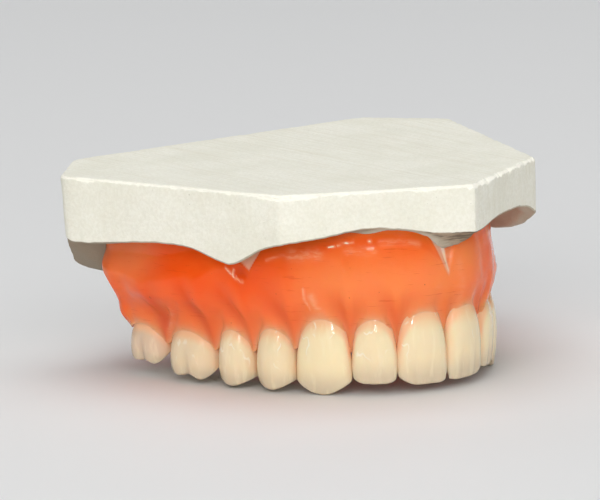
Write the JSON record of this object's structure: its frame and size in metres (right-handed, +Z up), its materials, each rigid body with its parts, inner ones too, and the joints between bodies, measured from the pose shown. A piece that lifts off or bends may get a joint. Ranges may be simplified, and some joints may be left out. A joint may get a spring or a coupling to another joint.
{
  "type": "upper full denture on plaster cast",
  "caption": "Upper full denture with artificial teeth set in an orange wax base, seated on its trimmed plaster cast, teeth down.",
  "frame": {"origin": "on the ground under the middle of the object's box, where the tips of the canines and the chewing teeth stand", "axes": "+X to the patient's left, +Y towards the back of the mouth, +Z up to the flat top of the cast; the teeth point down"},
  "size_m": [0.0696, 0.058, 0.0295],
  "materials": {
    "plaster": "matt dental plaster, finely sanded, with worn edges and small pits",
    "wax": "glossy translucent orange modelling wax",
    "tooth": "glossy layered tooth resin, cream with a warmer neck"
  },
  "bodies": {
    "root": {"plaster_cast": "plaster", "denture_base": "wax", "left_central_incisor": "tooth", "right_central_incisor": "tooth", "left_lateral_incisor": "tooth", "right_lateral_incisor": "tooth", "left_canine": "tooth", "right_canine": "tooth", "left_first_premolar": "tooth", "right_first_premolar": "tooth", "left_second_premolar": "tooth", "right_second_premolar": "tooth", "left_first_molar": "tooth", "right_first_molar": "tooth", "left_second_molar": "tooth", "right_second_molar": "tooth"}
  },
  "joints": []
}
